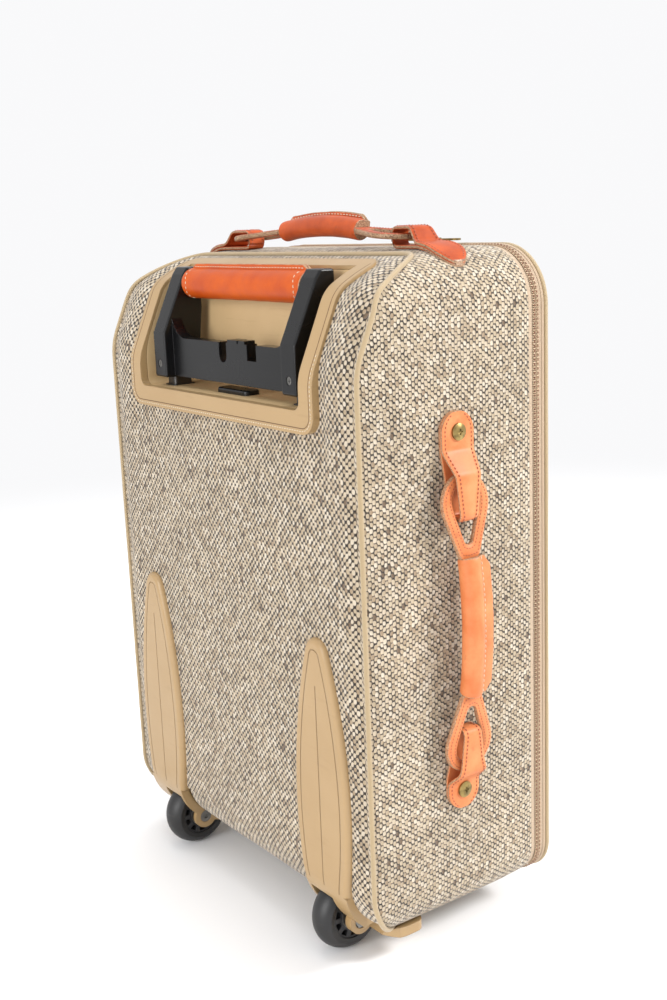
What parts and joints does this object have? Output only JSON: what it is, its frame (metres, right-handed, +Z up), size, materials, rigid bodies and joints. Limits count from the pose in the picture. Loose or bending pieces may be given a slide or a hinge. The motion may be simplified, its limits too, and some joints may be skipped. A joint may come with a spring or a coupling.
{
  "type": "softside upright suitcase",
  "caption": "Tweed softside upright suitcase with a hinged zipped lid, a telescoping pull handle in a recess, inline wheels in skids, front feet and leather carry handles.",
  "frame": {"origin": "middle of the whole suitcase's footprint on the floor, under the bounding box's centre", "axes": "+Z up, +Y out of the back (wheels and pull handle side), +X to the left as seen from the back, which is the side of the cloth hinge"},
  "size_m": [0.3854, 0.2269, 0.575],
  "materials": {
    "tweed": "coarse woven tweed",
    "pocket_tweed": "coarse woven tweed",
    "piping": "tan woven piping",
    "zipper_tape": "ribbed beige tape with a brown coil",
    "hinge_cloth": "plain woven cloth",
    "leather": "tan leather with stitched edges and light wear",
    "zipper_metal": "antique brass",
    "screw_brass": "polished brass",
    "screw_steel": "zinc plated",
    "black_plastic": "satin moulded plastic, fine grain",
    "button_plastic": "satin black",
    "tan_plastic": "semi-gloss moulded tan plastic",
    "tube_metal": "anodised",
    "board": "ribbed polypropylene",
    "tyre": "satin polyurethane",
    "hub": "moulded",
    "bearing_steel": "ground",
    "spring_steel": "drawn wire",
    "foot_rubber": "matte moulded"
  },
  "bodies": {
    "case": {"back_panel": "tweed", "gusset_top": "tweed", "gusset_bottom": "tweed", "gusset_handle_side": "tweed", "gusset_hinge_side": "tweed", "back_piping": "piping", "zipper_track_case": "zipper_tape", "lid_hinge_strip": "hinge_cloth", "handle_bezel": "tan_plastic", "handle_tub": "tan_plastic", "lock_housing": "black_plastic", "button_spring": "spring_steel", "trolley_outer_tubes": "tube_metal", "trolley_foot_brackets": "black_plastic", "trolley_cover_board": "board", "skid_left": "tan_plastic", "skid_right": "tan_plastic", "axle_bolts": "screw_steel", "axle_nuts": "screw_steel", "front_feet": "foot_rubber", "foot_screws": "screw_steel", "top_handle_tabs": "leather", "top_handle_rivets": "screw_brass", "top_handle_backing_plates": "screw_steel", "side_handle_tabs": "leather", "side_handle_screws": "screw_brass", "side_handle_backing_plates": "screw_steel"},
    "lid": {"lid_gusset": "tweed", "lid_panel": "tweed", "lid_piping": "piping", "zipper_track_lid": "zipper_tape", "front_pocket": "pocket_tweed", "pocket_zipper": "zipper_tape"},
    "pocket_slider": {"pocket_slider": "zipper_metal"},
    "middle_stage": {"trolley_middle_tubes": "tube_metal"},
    "pull_handle": {"pull_handle_yoke": "black_plastic", "pull_grip_core": "black_plastic", "pull_grip_leather": "leather", "pull_handle_screws": "screw_steel", "trolley_inner_tubes": "tube_metal"},
    "release_button": {"release_button": "button_plastic"},
    "lock_bar_left": {"lock_bar_left": "screw_steel"},
    "lock_bar_right": {"lock_bar_right": "screw_steel"},
    "wheel_left": {"wheel_tyre_left": "tyre", "wheel_hub_left": "hub", "wheel_bearings_left": "bearing_steel"},
    "wheel_right": {"wheel_tyre_right": "tyre", "wheel_hub_right": "hub", "wheel_bearings_right": "bearing_steel"},
    "top_handle": {"top_handle_loops": "leather", "top_handle_grip": "leather"},
    "side_handle": {"side_handle_loops": "leather", "side_handle_grip": "leather"},
    "zip_slider_left": {"zip_slider_left": "zipper_metal"},
    "zip_slider_right": {"zip_slider_right": "zipper_metal"},
    "zip_pull_left": {"zip_pull_left": "zipper_metal"},
    "zip_pull_right": {"zip_pull_right": "zipper_metal"}
  },
  "joints": [
    {"name": "lid_hinge", "type": "hinge", "parent": "case", "child": "lid", "pos_m": [0.193, -0.075, 0.288], "axis": [0, 0, 1], "range_deg": [0, 170]},
    {"name": "pocket_slider_run", "type": "slide", "parent": "lid", "child": "pocket_slider", "axis": [-1, 0, 0], "range_m": [0, 0.2]},
    {"name": "middle_stage_slide", "type": "slide", "parent": "case", "child": "middle_stage", "axis": [0, 0, 1], "range_m": [0, 0.235]},
    {"name": "pull_handle_slide", "type": "slide", "parent": "middle_stage", "child": "pull_handle", "axis": [0, 0, 1], "range_m": [0, 0.235]},
    {"name": "release_button_press", "type": "slide", "parent": "case", "child": "release_button", "axis": [0, 0, -1], "range_m": [0, 0.003], "stiffness_N_per_m": 300, "deforming": ["button_spring"]},
    {"name": "lock_bar_left_draw", "type": "slide", "parent": "case", "child": "lock_bar_left", "axis": [1, 0, 0], "range_m": [0, 0.003]},
    {"name": "lock_bar_right_draw", "type": "slide", "parent": "case", "child": "lock_bar_right", "axis": [-1, 0, 0], "range_m": [0, 0.003]},
    {"name": "wheel_left_spin", "type": "hinge", "parent": "case", "child": "wheel_left", "pos_m": [-0.1038, 0.0835, 0.03], "axis": [1, 0, 0], "continuous": true},
    {"name": "wheel_right_spin", "type": "hinge", "parent": "case", "child": "wheel_right", "pos_m": [0.1298, 0.0835, 0.03], "axis": [1, 0, 0], "continuous": true},
    {"name": "top_handle_swing", "type": "hinge", "parent": "case", "child": "top_handle", "pos_m": [0.013, -0.006, 0.5537], "axis": [1, 0, 0], "range_deg": [-10, 10], "stiffness_Nm_per_rad": 0.3},
    {"name": "side_handle_swing", "type": "hinge", "parent": "case", "child": "side_handle", "pos_m": [-0.1737, 0.014, 0.276], "axis": [0, 0, 1], "range_deg": [-12, 12], "stiffness_Nm_per_rad": 0.3},
    {"name": "zip_slider_left_run", "type": "slide", "parent": "case", "child": "zip_slider_left", "axis": [-1, 0, 0], "range_m": [0, 0.03]},
    {"name": "zip_slider_right_run", "type": "slide", "parent": "case", "child": "zip_slider_right", "axis": [1, 0, 0], "range_m": [0, 0.15]},
    {"name": "zip_pull_left_tip", "type": "hinge", "parent": "zip_slider_left", "child": "zip_pull_left", "pos_m": [-0.054, -0.0713, 0.5493], "axis": [0, 1, 0], "range_deg": [0, 100]},
    {"name": "zip_pull_right_tip", "type": "hinge", "parent": "zip_slider_right", "child": "zip_pull_right", "pos_m": [-0.04, -0.0713, 0.5493], "axis": [0, -1, 0], "range_deg": [0, 100]}
  ],
  "couplings": [
    {"joint": "lock_bar_left_draw", "follows": "release_button_press", "ratio": 1},
    {"joint": "lock_bar_right_draw", "follows": "release_button_press", "ratio": 1}
  ]
}
